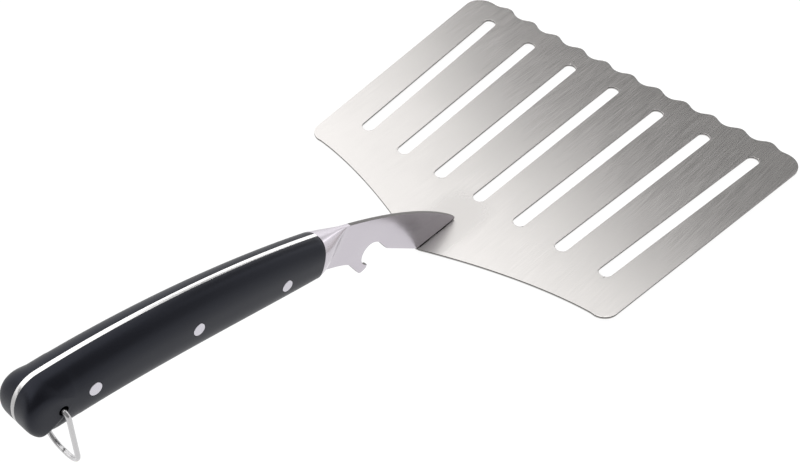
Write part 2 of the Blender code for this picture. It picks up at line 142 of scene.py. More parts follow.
# Fittings
HEAD_RADIUS = 2.5 * MM
HEAD_DEPTH = 1.0 * MM
HEAD_CHAMFER = 0.12 * MM
HEAD_PROUD = 0.03 * MM
HEAD_RINGS = 6
HEAD_SEGMENTS = 56
BORE_SEAM = 0.09 * MM  # round each head
BORE_SEAT_GAP = 0.3 * MM  # under each head
CUT_REACH = 20.0 * MM  # past the grip on either side
HOLE_RADIUS = 1.8 * MM
HOLE_Z = 70.8 * MM
WIRE_RADIUS = 0.9 * MM
WIRE_END_ROUND = 0.25 * MM
RING_TOP_HALF = 11.0 * MM
RING_LOW_HALF = 8.0 * MM
RING_HEIGHT = 31.2 * MM
RING_TOP_CORNER = 2.8 * MM
RING_LOW_CORNER = 7.5 * MM
RING_SEAM = 0.4 * MM

SWING = next(joint for joint in frame["joints"] if joint["name"] == "ring_swing")
WIRE_AXIS = Vector(SWING["pos_m"])
HOLE = Vector((WIRE_AXIS.x, 0, HOLE_Z))


# Lines


def bezier(points, count):
    """count + 1 points along a cubic given in millimetres."""
    a, b, c, d = (Vector(p) * MM for p in points)
    line = []
    for i in range(count + 1):
        t = i / count
        s = 1 - t
        line.append(a * s**3 + b * 3 * s * s * t + c * 3 * s * t * t + d * t**3)
    return line


def arc(centre, radius, start, end, count):
    angles = [math.radians(start + (end - start) * i / count) for i in range(count + 1)]
    return [centre + Vector((math.cos(a), math.sin(a))) * radius for a in angles]


def rounded(corners, segments, closed=True):
    """A polygon of (x, y, radius) corners with each corner rounded."""
    line = []
    count = len(corners)
    for i, (x, y, radius) in enumerate(corners):
        here = Vector((x, y))
        if radius <= 0 or (not closed and i in (0, count - 1)):
            line.append(here)
            continue
        before = (Vector(corners[i - 1][:2]) - here).normalized()
        after = (Vector(corners[(i + 1) % count][:2]) - here).normalized()
        half = before.angle(after) / 2
        centre = here + (before + after).normalized() * radius / math.sin(half)
        first = here + before * radius / math.tan(half) - centre
        turn = first.angle_signed(here + after * radius / math.tan(half) - centre)
        for k in range(segments + 1):
            line.append(centre + Matrix.Rotation(-turn * k / segments, 2) @ first)
    return line


def joined(start, corners, end, segments=14):
    """The rounded corners of an open line from start to end, without those two points."""
    return rounded([(*start, 0), *corners, (*end, 0)], segments, closed=False)[1:-1]


def without_repeats(line, closest=0.02 * MM):
    kept = [line[0]]
    for point in line[1:]:
        if (point - kept[-1]).length > closest:
            kept.append(point)
    if (kept[0] - kept[-1]).length <= closest:
        kept.pop()
    return kept


def mix(a, b, t):
    return a + (b - a) * t


def smooth(t):
    t = min(1.0, max(0.0, t))
    return t * t * (3 - 2 * t)


def moved_in(line, distance):
    """A closed anticlockwise line moved inward, or outward where the distance is negative."""
    moved = []
    for i, point in enumerate(line):
        before = (point - line[i - 1]).normalized()
        after = (line[(i + 1) % len(line)] - point).normalized()
        along = (before + after).normalized()
        inward = Vector((-along.y, along.x))
        stretch = 1 / max(0.6, inward.dot(Vector((-before.y, before.x))))
        moved.append(point + inward * distance * stretch)
    return moved


# Meshes


def object_from(name, bm, materials, sharp=40.0):
    bmesh.ops.recalc_face_normals(bm, faces=bm.faces)
    if bm.calc_volume(signed=True) < 0:
        bmesh.ops.reverse_faces(bm, faces=bm.faces)
    mesh = bpy.data.meshes.new(name)
    bm.to_mesh(mesh)
    bm.free()
    for mat in materials:
        mesh.materials.append(mat)
    mesh.shade_smooth()
    mesh.set_sharp_from_angle(angle=math.radians(sharp))
    obj = bpy.data.objects.new(name, mesh)
    bpy.context.scene.collection.objects.link(obj)
    return obj


def even_normals(obj):
    """Large flat faces set the shading normals beside small edge faces."""
    modifier = obj.modifiers.new("even normals", "WEIGHTED_NORMAL")
    modifier.weight = 80
    modifier.keep_sharp = True


def apply_boolean(obj, tool, operation):
    modifier = obj.modifiers.new("boolean", "BOOLEAN")
    modifier.operation = operation
    modifier.solver = "EXACT"
    modifier.object = tool
    graph = bpy.context.evaluated_depsgraph_get()
    mesh = bpy.data.meshes.new_from_object(obj.evaluated_get(graph))
    obj.modifiers.clear()
    obj.data = mesh
    bpy.data.objects.remove(tool)


def plate(outline, holes, thickness, edge, belts=()):
    """A flat plate on z = 0 with holes and rounded edges, its walls divided at each belt's height."""
    bm = bmesh.new()
    steps = 3
    angles = [math.pi / 2 * k / steps for k in range(steps + 1)]
    rim = [(edge * (1 - math.sin(a)), edge * (1 - math.cos(a))) for a in angles]
    profile = [(inset, thickness - drop) for inset, drop in rim]
    profile += [(0, height) for height in belts] + [(inset, drop) for inset, drop in reversed(rim)]
    caps = ([], [])
    for line, side in [(outline, 1)] + [(hole, -1) for hole in holes]:
        rings = []
        for inset, z in profile:
            rings.append([bm.verts.new((*p, z)) for p in moved_in(line, side * inset)])
        for first, second in zip(rings, rings[1:]):
            for i in range(len(first)):
                j = (i + 1) % len(first)
                bm.faces.new((first[i], first[j], second[j], second[i]))
        for cap, ring in zip(caps, (rings[0], rings[-1])):
            cap += [bm.edges.get((a, b)) for a, b in zip(ring, ring[1:] + ring[:1])]
    for cap in caps:
        bmesh.ops.triangle_fill(bm, edges=cap, use_beauty=True)
    return bm


def swept(line, radius, segments, end_round):
    """A round wire along an open line, its two ends slightly rounded."""
    bm = bmesh.new()
    rings = []
    last = len(line) - 1
    stops = [(0, -end_round, radius - end_round)]
    stops += [(i, 0, radius) for i in range(last + 1)]
    stops += [(last, end_round, radius - end_round)]
    side = Vector((1, 0, 0))
    for i, out, size in stops:
        ahead = (line[min(i + 1, last)] - line[max(i - 1, 0)]).normalized()
        up = ahead.cross(side)
        centre = line[i] + ahead * out
        ring = []
        for k in range(segments):
            a = 2 * math.pi * k / segments
            ring.append(bm.verts.new(centre + (side * math.cos(a) + up * math.sin(a)) * size))
        rings.append(ring)
    for first, second in zip(rings, rings[1:]):
        for k in range(segments):
            m = (k + 1) % segments
            bm.faces.new((first[k], first[m], second[m], second[k]))
    bm.faces.new(rings[0][::-1])
    bm.faces.new(rings[-1])
    return bm


def turned(profile, segments, centre):
    """A solid of revolution about the Y direction, from (radius, y) pairs."""
    bm = bmesh.new()
    rings = []
    for radius, y in profile:
        if radius == 0:
            rings.append([bm.verts.new(centre + Vector((0, y, 0)))])
            continue
        ring = []
        for i in range(segments):
            a = 2 * math.pi * i / segments
            out = Vector((radius * math.cos(a), y, radius * math.sin(a)))
            ring.append(bm.verts.new(centre + out))
        rings.append(ring)
    for first, second in zip(rings, rings[1:]):
        for i in range(segments):
            j = (i + 1) % segments
            places = ((first, i), (first, j), (second, j), (second, i))
            quad = [ring[place % len(ring)] for ring, place in places]
            bm.faces.new(list(dict.fromkeys(quad)))
    return bm


# Finishes

NOISE_RANGE = (0.3, 0.7)  # the middle range of a noise's height


def new_material(name, colour, metallic, roughness):
    mat = bpy.data.materials.new(name)
    mat.use_nodes = True
    shader = mat.node_tree.nodes["Principled BSDF"]
    shader.inputs["Base Color"].default_value = (*colour, 1)
    shader.inputs["Metallic"].default_value = metallic
    shader.inputs["Roughness"].default_value = roughness
    mat.diffuse_color = (*colour, 1)
    return mat, shader


def noise(mat, scale, detail, turn=(0, 0, 0)):
    """The height of a noise stretched by its scale along each axis, in waves per metre."""
    nodes, links = mat.node_tree.nodes, mat.node_tree.links
    place = nodes.new("ShaderNodeTexCoord")
    mapping = nodes.new("ShaderNodeMapping")
    mapping.inputs["Scale"].default_value = scale
    mapping.inputs["Rotation"].default_value = turn
    texture = nodes.new("ShaderNodeTexNoise")
    texture.inputs["Scale"].default_value = 1.0
    texture.inputs["Detail"].default_value = detail
    links.new(place.outputs["Object"], mapping.inputs["Vector"])
    links.new(mapping.outputs["Vector"], texture.inputs["Vector"])
    return texture.outputs["Fac"]


def spread(mat, height, low, high):
    """The noise's middle range mapped to low..high."""
    node = mat.node_tree.nodes.new("ShaderNodeMapRange")
    node.inputs["From Min"].default_value = NOISE_RANGE[0]
    node.inputs["From Max"].default_value = NOISE_RANGE[1]
    node.inputs["To Min"].default_value = low
    node.inputs["To Max"].default_value = high
    mat.node_tree.links.new(height, node.inputs["Value"])
    return node.outputs["Result"]


def tint(mat, height, low, high):
    """A colour that the noise carries from low to high."""
    ramp = mat.node_tree.nodes.new("ShaderNodeValToRGB")
    for element, position, colour in zip(ramp.color_ramp.elements, NOISE_RANGE, (low, high)):
        element.position = position
        element.color = (*colour, 1)
    mat.node_tree.links.new(height, ramp.inputs["Fac"])
    return ramp.outputs["Color"]


def bump(mat, height, depth):
    node = mat.node_tree.nodes.new("ShaderNodeBump")
    node.inputs["Distance"].default_value = depth
    node.inputs["Strength"].default_value = 1.0
    mat.node_tree.links.new(height, node.inputs["Height"])
    return node.outputs["Normal"]


def toned(colour, shares):
    """The colour times each share."""
    return [tuple(c * share for c in colour) for share in shares]


def brushed(name, colour, roughness, grain, depth, turn=(0, 0, 0)):
    """Satin steel with fine parallel scratches and a slow change of tone."""
    mat, shader = new_material(name, colour, 1.0, roughness)
    links = mat.node_tree.links
    scratches = noise(mat, grain, 4.0, turn)
    cloud = noise(mat, (14, 14, 14), 2.0)
    links.new(tint(mat, cloud, *toned(colour, (0.965, 1.03))), shader.inputs["Base Color"])
    polish = spread(mat, scratches, roughness * 0.86, roughness * 1.16)
    links.new(polish, shader.inputs["Roughness"])
    links.new(bump(mat, scratches, depth), shader.inputs["Normal"])
    return mat


def roughen_near_weld(mat):
    """A rougher blend beside the neck, where the weld was dressed by hand."""
    nodes, links = mat.node_tree.nodes, mat.node_tree.links
    shader = nodes["Principled BSDF"]
    place = nodes.new("ShaderNodeTexCoord")
    axes = nodes.new("ShaderNodeSeparateXYZ")
    links.new(place.outputs["Object"], axes.inputs[0])
    off_middle = nodes.new("ShaderNodeMath")
    off_middle.operation = "ABSOLUTE"
    links.new(axes.outputs["Y"], off_middle.inputs[0])
    near = nodes.new("ShaderNodeMath")
    near.operation = "MULTIPLY"
    reaches = ((off_middle.outputs[0], *DRESSED_Y), (axes.outputs["X"], *DRESSED_X))
    for i, (value, far, close) in enumerate(reaches):
        fade = nodes.new("ShaderNodeMapRange")
        fade.interpolation_type = "SMOOTHSTEP"
        fade.inputs["From Min"].default_value = far
        fade.inputs["From Max"].default_value = close
        links.new(value, fade.inputs["Value"])
        links.new(fade.outputs["Result"], near.inputs[i])
    total = nodes.new("ShaderNodeMath")
    total.operation = "MULTIPLY_ADD"
    links.new(near.outputs[0], total.inputs[0])
    total.inputs[1].default_value = DRESSED_ROUGHNESS
    links.new(shader.inputs["Roughness"].links[0].from_socket, total.inputs[2])
    links.new(total.outputs[0], shader.inputs["Roughness"])


def darken_along_x(mat, bright_x, dark_x, share):
    """The colour fades to this share of itself from one place along X to another."""
    nodes, links = mat.node_tree.nodes, mat.node_tree.links
    colour = nodes["Principled BSDF"].inputs["Base Color"]
    place = nodes.new("ShaderNodeTexCoord")
    axes = nodes.new("ShaderNodeSeparateXYZ")
    links.new(place.outputs["Object"], axes.inputs[0])
    fade = nodes.new("ShaderNodeMapRange")
    fade.interpolation_type = "SMOOTHSTEP"
    fade.inputs["From Min"].default_value = bright_x
    fade.inputs["From Max"].default_value = dark_x
    fade.inputs["To Min"].default_value = 1.0
    fade.inputs["To Max"].default_value = share
    links.new(axes.outputs["X"], fade.inputs["Value"])
    scale = nodes.new("ShaderNodeVectorMath")
    scale.operation = "SCALE"
    links.new(colour.links[0].from_socket, scale.inputs[0])
    links.new(fade.outputs["Result"], scale.inputs["Scale"])
    links.new(scale.outputs[0], colour)


def moulded(name, colour, roughness, specular, sheen):
    """Satin polymer: a fine orange-peel grain and a faint worn sheen."""
    mat, shader = new_material(name, colour, 0.0, roughness)
    links = mat.node_tree.links
    grain = noise(mat, (2600, 2600, 2600), 2.0)
    wear = noise(mat, (45, 90, 90), 3.0)
    links.new(tint(mat, wear, *toned(colour, (1.0, 1.3))), shader.inputs["Base Color"])
    polish = spread(mat, wear, roughness * 0.93, roughness * 1.08)
    links.new(polish, shader.inputs["Roughness"])
    links.new(bump(mat, grain, 0.006 * MM), shader.inputs["Normal"])
    shader.inputs["Specular IOR Level"].default_value = specular
    shader.inputs["Specular Tint"].default_value = (*sheen, 1)
    return mat


# Blade


def side_y(x):
    return BLADE_FRONT_WIDTH / 2 - (FRONT_X - FRONT_CORNER - x) * math.tan(SIDE_FLARE)


def scallop_x(y):
    wave = (1 + math.cos(2 * math.pi * y / SCALLOP_PITCH)) / 2
    return FRONT_X - SCALLOP_DEPTH * (1 - wave**SCALLOP_POWER)


def rear_x(y):
    corner_y = side_y(REAR_X) - REAR_CORNER
    inward = max(0.0, (corner_y - abs(y)) / corner_y)
    return REAR_X - (REAR_X - TIP_X) * inward**REAR_CURVE


def blade_outline():
    """Anticlockwise from the middle of the front edge."""
    half = []
    edge_y = (SCALLOPS - 0.5) / 2 * SCALLOP_PITCH + SCALLOP_PITCH / 4
    steps = SCALLOPS * 12
    for i in range(steps + 1):
        y = edge_y * i / steps
        half.append(Vector((scallop_x(y), y)))
    inboard_y = side_y(REAR_X) * 0.8  # the rear corner's rounding ends outboard of this
    corners = [
        (CORNER_X, side_y(CORNER_X) - CORNER_TUCK, FRONT_CORNER),
        (REAR_X, side_y(REAR_X), REAR_CORNER),
    ]
    half += joined(half[-1], corners, (rear_x(inboard_y), inboard_y), segments=24)
    start_y = half[-1].y
    bends = 44
    for i in range(1, bends):
        y = start_y * (1 - i / bends)
        half.append(Vector((rear_x(y), y)))
    tip = Vector((TIP_X + TIP_BLUNT, 0))
    mirrored = [Vector((p.x, -p.y)) for p in reversed(half[1:])]
    return without_repeats(half + [tip] + mirrored)


def slot_outline(index):
    radius = SLOT_WIDTH / 2
    reach = SLOT_LENGTH / 2 - radius
    middle = Vector((SLOT_REAR_X + SLOT_LENGTH / 2, index * SLOT_PITCH))
    turn = Matrix.Rotation(-index * SLOT_FAN, 2).inverted()
    ends = arc(Vector((reach, 0)), radius, -90, 90, 22)
    ends += arc(Vector((-reach, 0)), radius, 90, 270, 22)
    return [middle + turn @ p for p in ends]


def tab_outline(x, margin):
    half_length = TAB_LENGTH / 2 + margin
    half_width = TANG / 2 + margin
    signs = ((-1, -1), (1, -1), (1, 1), (-1, 1))
    return [Vector((x + sx * half_length, sy * half_width)) for sx, sy in signs]


def dish(y):
    out = max(0.0, abs(y) - FLAT_HALF)
    return EDGE_RISE * (out / (BLADE_FRONT_WIDTH / 2 - FLAT_HALF)) ** 2


def make_blade(face, arris, wall):
    """The sheet; its punched edges have a dark upper arris of painted shade above a bright sheared
    wall.
    """
    holes = [slot_outline(i - SLOTS // 2) for i in range(SLOTS)]
    holes += [tab_outline(x, TAB_MARGIN) for x in TABS]
    burnish = SHEET * BURNISH_SHARE
    bm = plate(blade_outline(), holes, SHEET, BLADE_EDGE, belts=(burnish,))
    for side in (-1, 1):
        for i in range(int((BLADE_FRONT_WIDTH / 2 - FLAT_HALF) / DISH_STEP) + 1):
            where = side * (FLAT_HALF + i * DISH_STEP)
            bmesh.ops.bisect_plane(bm, geom=bm.verts[:] + bm.edges[:] + bm.faces[:],
                                   plane_co=(0, where, 0), plane_no=(0, 1, 0), dist=1e-7)
    for f in bm.faces:
        f.normal_update()
        if abs(f.normal.z) < BLADE_WALL:
            # Painted shade: the upper part of a punched edge takes the almost black arris steel
            f.material_index = 1 if f.calc_center_median().z > burnish else 2
    for vert in bm.verts:
        vert.co.z += dish(vert.co.y)
    blade = object_from("blade_sheet", bm, (face, arris, wall), sharp=60)
    even_normals(blade)
    return blade


# Grip


def grip_lines(count):
    """Matching points along the grip's top and bottom, from the bolster joint to the butt."""
    fine = 2000
    spine = bezier(SPINE, fine)
    start = min(range(fine + 1), key=lambda i: (spine[i] - JOINT_TOP).length)
    top = [spine[start + (fine - start) * i // count] for i in range(count + 1)]
    top[0] = JOINT_TOP
    low = bezier(GRIP_LOW, count)[::-1]
    low[0] = JOINT_LOW
    return top, low


def grip_half(x):
    share = min(1.0, max(0.0, (JOINT_TOP.x - x) / (JOINT_TOP.x - REST_X)))
    return mix(GRIP_FRONT_HALF, GRIP_REAR_HALF, math.sin(share * math.pi / 2))


def swell(inward, exponent):
    return (1 - (1 - inward) ** exponent) ** (1 / exponent)


def scale_rows(stations, butt_steps, rows):
    """Rows of points from the outline in to the middle line, for the +Y side."""
    top, low = grip_lines(stations)
    shift = (JOINT_TOP - JOINT_LOW).normalized()
    back = Vector((-shift.y, shift.x)) * SEAM
    top[0] = top[0] + back
    low[0] = low[0] + back
    last = Vector((BUTT_DEPTH + REST_X, mix(top[-1].y, low[-1].y, 0.5)))
    ribs = []
    for i in range(stations + 1):
        middle = mix(top[i], low[i], 0.5)
        if middle.x < last.x:
            middle = last
        ribs.append((top[i], middle, SECTION_TOP))
    butt = bezier(BUTT_TOP, butt_steps)[1:] + bezier(BUTT_LOW, butt_steps)[1:-1]
    for i, point in enumerate(butt):
        down = (i + 1) / (len(butt) + 1)
        square = smooth(down / BUTT_SQUARE)
        square *= smooth((BUTT_ROUND - down) / (BUTT_ROUND - BUTT_CORNER)) ** 2
        section = SECTION_TOP if down < BUTT_SQUARE else SECTION_LOW
        ribs.append((point, last, mix(section, SECTION_BUTT, square)))
    for i in range(stations, -1, -1):
        ribs.append((low[i], ribs[i][1], SECTION_LOW))
    inner = TANG / 2 + SEAM
    lines = []
    for outer, middle, exponent in ribs:
        line = []
        for k in range(rows + 1):
            inward = (k / rows) ** ROW_POWER
            point = mix(outer, middle, inward)
            y = mix(inner, grip_half(point.x), swell(inward, exponent))
            line.append(Vector((point.x, y, point.y)))
        lines.append(line)
    return lines


def make_scale(name, side, mat):
    lines = scale_rows(stations=90, butt_steps=26, rows=22)
    bm = bmesh.new()
    grid = [[bm.verts.new((p.x, p.y * side, p.z)) for p in line] for line in lines]
    for first, second in zip(grid, grid[1:]):
        for k in range(len(first) - 1):
            bm.faces.new((first[k], first[k + 1], second[k + 1], second[k]))
    bm.faces.new(grid[0] + grid[-1][::-1])
    bm.faces.new([line[0] for line in grid])
    bmesh.ops.remove_doubles(bm, verts=bm.verts[:], dist=MERGE)
    bmesh.ops.dissolve_degenerate(bm, edges=bm.edges[:], dist=MERGE)
    return object_from(name, bm, (mat,), sharp=50)


def surface_tree(obj):
    bm = bmesh.new()
    bm.from_mesh(obj.data)
    tree = BVHTree.FromBMesh(bm)
    bm.free()
    return tree


def surface_y(tree, side, x, z):
    """How far out the scale's face is at x and z."""
    hit = tree.ray_cast(Vector((x, side * CUT_REACH, z)), Vector((0, -side, 0)))[0]
    return hit.y


def make_rivet_head(name, tree, side, centre, mat):
    """A head ground flush: its face follows the scale's own face."""
    bm = bmesh.new()
    flats = [HEAD_RADIUS * k / HEAD_RINGS for k in range(1, HEAD_RINGS)]
    stops = [(radius, -HEAD_PROUD) for radius in (*flats, HEAD_RADIUS - HEAD_CHAMFER)]
    stops += [(HEAD_RADIUS, HEAD_CHAMFER), (HEAD_RADIUS, HEAD_DEPTH)]
    top = surface_y(tree, side, centre.x, centre.z) + side * HEAD_PROUD
    middle = bm.verts.new((centre.x, top, centre.z))
    rings = []
    for radius, drop in stops:
        ring = []
        for i in range(HEAD_SEGMENTS):
            a = 2 * math.pi * i / HEAD_SEGMENTS
            x, z = centre.x + radius * math.cos(a), centre.z + radius * math.sin(a)
            ring.append(bm.verts.new((x, surface_y(tree, side, x, z) - side * drop, z)))
        rings.append(ring)
    for i in range(HEAD_SEGMENTS):
        bm.faces.new((middle, rings[0][i], rings[0][(i + 1) % HEAD_SEGMENTS]))
    for first, second in zip(rings, rings[1:]):
        for i in range(HEAD_SEGMENTS):
            j = (i + 1) % HEAD_SEGMENTS
            bm.faces.new((first[i], second[i], second[j], first[j]))
    bm.faces.new(rings[-1])
    return object_from(name, bm, (mat,), sharp=35)


# Neck


def neck_outline():
    """Anticlockwise side view of neck, bolster and tang."""
    toe, *top = bezier(SPINE, 150)
    top = [point for point in top if (point - toe).length > 2.5 * TIP_RADIUS]
    butt = bezier(BUTT_TOP, 24) + bezier(BUTT_LOW, 18)
    low = bezier(GRIP_LOW, 50)
    arch = bezier(ARCH, 30)
    notch = arc(NOTCH_CENTRE, NOTCH_RADIUS, NOTCH_START, NOTCH_END, 50)
    hook = joined(arch[-1], [HOOK_HEEL, HOOK_TOE], notch[0])
    shoulder = joined(notch[-1], [NOTCH_SHOULDER, NECK_SHOULDER], HEEL) + [HEEL]
    base = []
    tab_foot = SHEET - TAB_DEPTH
    for x in TABS:
        for sx, z in ((-1, HEEL.y), (-1, tab_foot), (1, tab_foot), (1, HEEL.y)):
            base.append(Vector((x + sx * TAB_LENGTH / 2, z)))
    tip = joined(base[-1], [(*toe, TIP_RADIUS)], top[0])
    line = top + butt + low + arch + hook + notch + shoulder + base + tip
    return without_repeats(line, closest=0.05 * MM)


def at_distance(line, origin, forward, ahead):
    """The point of the line that lies this far ahead of the origin."""
    for a, b in zip(line, line[1:]):
        from_a = (a - origin).dot(forward) - ahead
        from_b = (b - origin).dot(forward) - ahead
        if from_a * from_b <= 0 and from_a != from_b:
            return mix(a, b, from_a / (from_a - from_b))
    return line[-1]


def make_flare(mat):
    """The bolster, from the grip's full section down to a crease on the plate."""
    axis = JOINT_TOP - JOINT_LOW
    forward = Vector((axis.y, -axis.x)).normalized()
    spine = bezier(SPINE, 600)
    arch = bezier(ARCH, 300)
    bm = bmesh.new()
    rings = []
    stations, rows = 44, 30
    # How far ahead of the joint each section lies, and how far it is drawn in
    stops = [(0.0, BOLSTER_RIM), (BOLSTER_RIM, 0.0)]
    stops += [(BOLSTER_TOP * (i / stations), 0.0) for i in range(1, stations + 1)]
    for ahead, rim in stops:
        lift = mix(BOLSTER_PROUD, -BOLSTER_SUNK, ahead / BOLSTER_TOP) - rim
        top = at_distance(spine, JOINT_TOP, forward, ahead) + Vector((0, lift))
        low_ahead = min(ahead, BOLSTER_ARCH_SHARE * BOLSTER_TOP)
        low = at_distance(arch, JOINT_LOW, forward, low_ahead) - Vector((0, lift))
        ring = []
        for side, ks in ((1, range(rows + 1)), (-1, range(1, rows))):
            for k in ks:
                v = math.sin(math.pi / 2 * math.cos(math.pi * k / rows)) * side
                end_length = BOLSTER_TOP if v > 0 else BOLSTER_LOW
                left = max(0.0, 1 - ahead / mix(BOLSTER_SIDE, end_length, abs(v) ** FLARE_POWER))
                fade = left * (1 + mix(SHOULDER_SIDE, SHOULDER_END, abs(v)) * (1 - left))
                exponent = SECTION_TOP if v > 0 else SECTION_LOW
                core = CORE_HALF * (1 - abs(v) ** CORE_POWER) ** (1 / CORE_POWER)
                full = mix(core, GRIP_FRONT_HALF, (1 - abs(v) ** exponent) ** (1 / exponent)) - rim
                y = side * (core + max(0.0, full - core) * fade)
                point = mix((top + low) / 2, top if v > 0 else low, abs(v))
                ring.append(bm.verts.new((point.x, y, point.y)))
        rings.append(ring)
    for first, second in zip(rings, rings[1:]):
        for k in range(len(first)):
            m = (k + 1) % len(first)
            bm.faces.new((first[k], first[m], second[m], second[k]))
    bm.faces.new(rings[0])
    bm.faces.new(rings[-1][::-1])
    return object_from("flare", bm, (mat,))


def make_neck(side_mat, dark_edge_mat, bright_mat, contact_shade_mat):
    """The plate and its bolster; its edge is dark at the neck and bright round the grip, with painted
    shade along its base.
    """
    hang_hole = arc(Vector((HOLE.x, HOLE.z)), HOLE_RADIUS, 0, 350, 35)
    bm = plate(neck_outline(), [hang_hole], TANG, PLATE_EDGE)
    for vert in bm.verts:
        x, z, y = vert.co
        vert.co = (x, y - TANG / 2, z)
    bm.normal_update()
    for face in bm.faces:
        x = face.calc_center_median().x
        if abs(face.normal.y) >= PLATE_WALL:
            continue
        if x > DARK_EDGE_X:
            face.material_index = 1
        elif x < JOINT_TOP.x:
            face.material_index = 2
    neck = object_from("neck_plate", bm, (side_mat, dark_edge_mat, bright_mat))
    apply_boolean(neck, make_flare(side_mat), "UNION")
    mesh = neck.data
    mesh.materials.append(contact_shade_mat)
    bm = bmesh.new()
    bm.from_mesh(mesh)
    # Painted shade: faces low on the neck's base, where it meets the blade, get an almost black steel
    top_of_contact_shade = HEEL.y + CONTACT_SHADE_HEIGHT
    bmesh.ops.bisect_plane(bm, geom=bm.verts[:] + bm.edges[:] + bm.faces[:],
                           plane_co=(0, 0, top_of_contact_shade), plane_no=(0, 0, 1), dist=1e-7)
    for face in bm.faces:
        if face.calc_center_median().z < top_of_contact_shade:
            face.material_index = len(mesh.materials) - 1
    bm.to_mesh(mesh)
    bm.free()
    mesh.shade_smooth()
    mesh.set_sharp_from_angle(angle=math.radians(38))
    return neck


# Ring


def ring_line():
    """The wire's centre line in its own plane; it starts at the seam."""
    corners = [
        (RING_LOW_HALF, -RING_HEIGHT, RING_LOW_CORNER),
        (RING_TOP_HALF, 0, RING_TOP_CORNER),
        (-RING_TOP_HALF, 0, RING_TOP_CORNER),
        (-RING_LOW_HALF, -RING_HEIGHT, RING_LOW_CORNER),
    ]
    line = rounded(corners, segments=22)
    seam = mix(line[0], line[-1], 0.5)
    along = (line[0] - line[-1]).normalized() * RING_SEAM / 2
    loop = [seam + along] + line + [seam - along]
    return [WIRE_AXIS + Vector((0, p.x, p.y)) for p in loop]


# Build

# Grain is in waves per metre along each axis; scratches run along the axis with the lowest number
LONG_GRAIN = (90, 2200, 2200)
EDGE_GRAIN = (900, 900, 5000)
EVEN_GRAIN = (1500, 1500, 1500)
BUTT_PAINTED_SHADE_X = (REST_X + 9 * MM, REST_X + 1 * MM)  # painted shade: the tang's edge is coloured darker round the butt

blade_steel = brushed("blade steel", (0.63, 0.61, 0.595), roughness=0.21,
                      grain=(60, 2200, 2200), depth=0.001 * MM)
roughen_near_weld(blade_steel)
# Painted shade: the upper arris of each punched edge is coloured almost black
shaded_arris_steel = brushed("painted shade arris steel", (0.06, 0.058, 0.055), roughness=0.45,
                      grain=EDGE_GRAIN, depth=0.004 * MM)
sheared_steel = brushed("sheared steel", (0.45, 0.44, 0.43), roughness=0.3,
                        grain=EDGE_GRAIN, depth=0.004 * MM)
dark_edge_steel = brushed("dark edge steel", (0.16, 0.152, 0.15), roughness=0.42,
                       grain=(1200, 4000, 1200), depth=0.004 * MM)
bright_steel = brushed("bright edge steel", (0.85, 0.84, 0.84), roughness=0.25,
                       grain=LONG_GRAIN, depth=0.0008 * MM)
# Painted shade: the bright edge's colour falls to half toward the butt
darken_along_x(bright_steel, *BUTT_PAINTED_SHADE_X, share=0.5)
# Painted shade along the neck's base where it meets the blade, as an almost black steel
contact_shade_steel = brushed("painted contact shade steel", (0.02, 0.018, 0.016), roughness=0.55,
                     grain=EVEN_GRAIN, depth=0.01 * MM)
neck_steel = brushed("neck steel", (0.555, 0.522, 0.567), roughness=0.23,
                     grain=LONG_GRAIN, depth=0.0008 * MM, turn=(0, 0.6, 0))
rivet_steel = brushed("rivet steel", (0.59, 0.575, 0.625), roughness=0.3,
                      grain=(4000, 300, 300), depth=0.003 * MM)
ring_steel = brushed("ring steel", (0.52, 0.515, 0.52), roughness=0.26,
                     grain=(900, 900, 90), depth=0.0001 * MM)
weld_steel = brushed("weld steel", (0.5, 0.47, 0.44), roughness=0.38,
                     grain=EVEN_GRAIN, depth=0.03 * MM)
polymer = moulded("black polymer", (0.0035, 0.0035, 0.005), roughness=0.38,
                  specular=0.33, sheen=(0.74, 0.79, 1.0))

blade = make_blade(blade_steel, shaded_arris_steel, sheared_steel)
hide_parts("blade")
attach(blade, "turner")

neck = make_neck(neck_steel, dark_edge_steel, bright_steel, contact_shade_steel)
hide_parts("neck_tang")
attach(neck, "turner")

for node in ("weld_rear", "weld_front"):
    for slot in frame["nodes"][node].material_slots:
        slot.material = weld_steel

for name, side in (("scale_left", 1), ("scale_right", -1)):
    scale = make_scale(name + "_shell", side, polymer)
    tree = surface_tree(scale)
    for position in ("front", "middle", "rear"):
        low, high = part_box(f"rivet_{position}_tube")
        centre = Vector(((low[0] + high[0]) / 2, 0, (low[2] + high[2]) / 2))
        node = f"rivet_{position}_{'tube' if side > 0 else 'pin'}"
        head = make_rivet_head(node + "_head", tree, side, centre, rivet_steel)
        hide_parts(node)
        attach(head, "turner")
        seat = side * (grip_half(centre.x) - HEAD_DEPTH - BORE_SEAT_GAP)
        reach = side * CUT_REACH
        wide = HEAD_RADIUS + BORE_SEAM
        profile = [(0, seat), (wide, seat), (wide, reach), (0, reach)]
        bore = turned(profile, HEAD_SEGMENTS, centre)
        apply_boolean(scale, object_from("bore", bore, (polymer,)), "DIFFERENCE")
    profile = [(0, -CUT_REACH), (HOLE_RADIUS, -CUT_REACH), (HOLE_RADIUS, CUT_REACH), (0, CUT_REACH)]
    hole = turned(profile, 48, HOLE)
    apply_boolean(scale, object_from("hole", hole, (polymer,)), "DIFFERENCE")
    scale.data.shade_smooth()
    scale.data.set_sharp_from_angle(angle=math.radians(50))
    even_normals(scale)
    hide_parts(name)
    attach(scale, "turner")

wire = swept(ring_line(), WIRE_RADIUS, segments=28, end_round=WIRE_END_ROUND)
ring = object_from("hanging_wire", wire, (ring_steel,), sharp=50)
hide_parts("hang_ring")
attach(ring, "ring")


# Studio

FLOOR_REACH = 6.0
FLOOR_DROP = 0.05 * MM
FLOOR_COLOUR = (0.14, 0.14, 0.14)
FLOOR_GLOW = 0.93

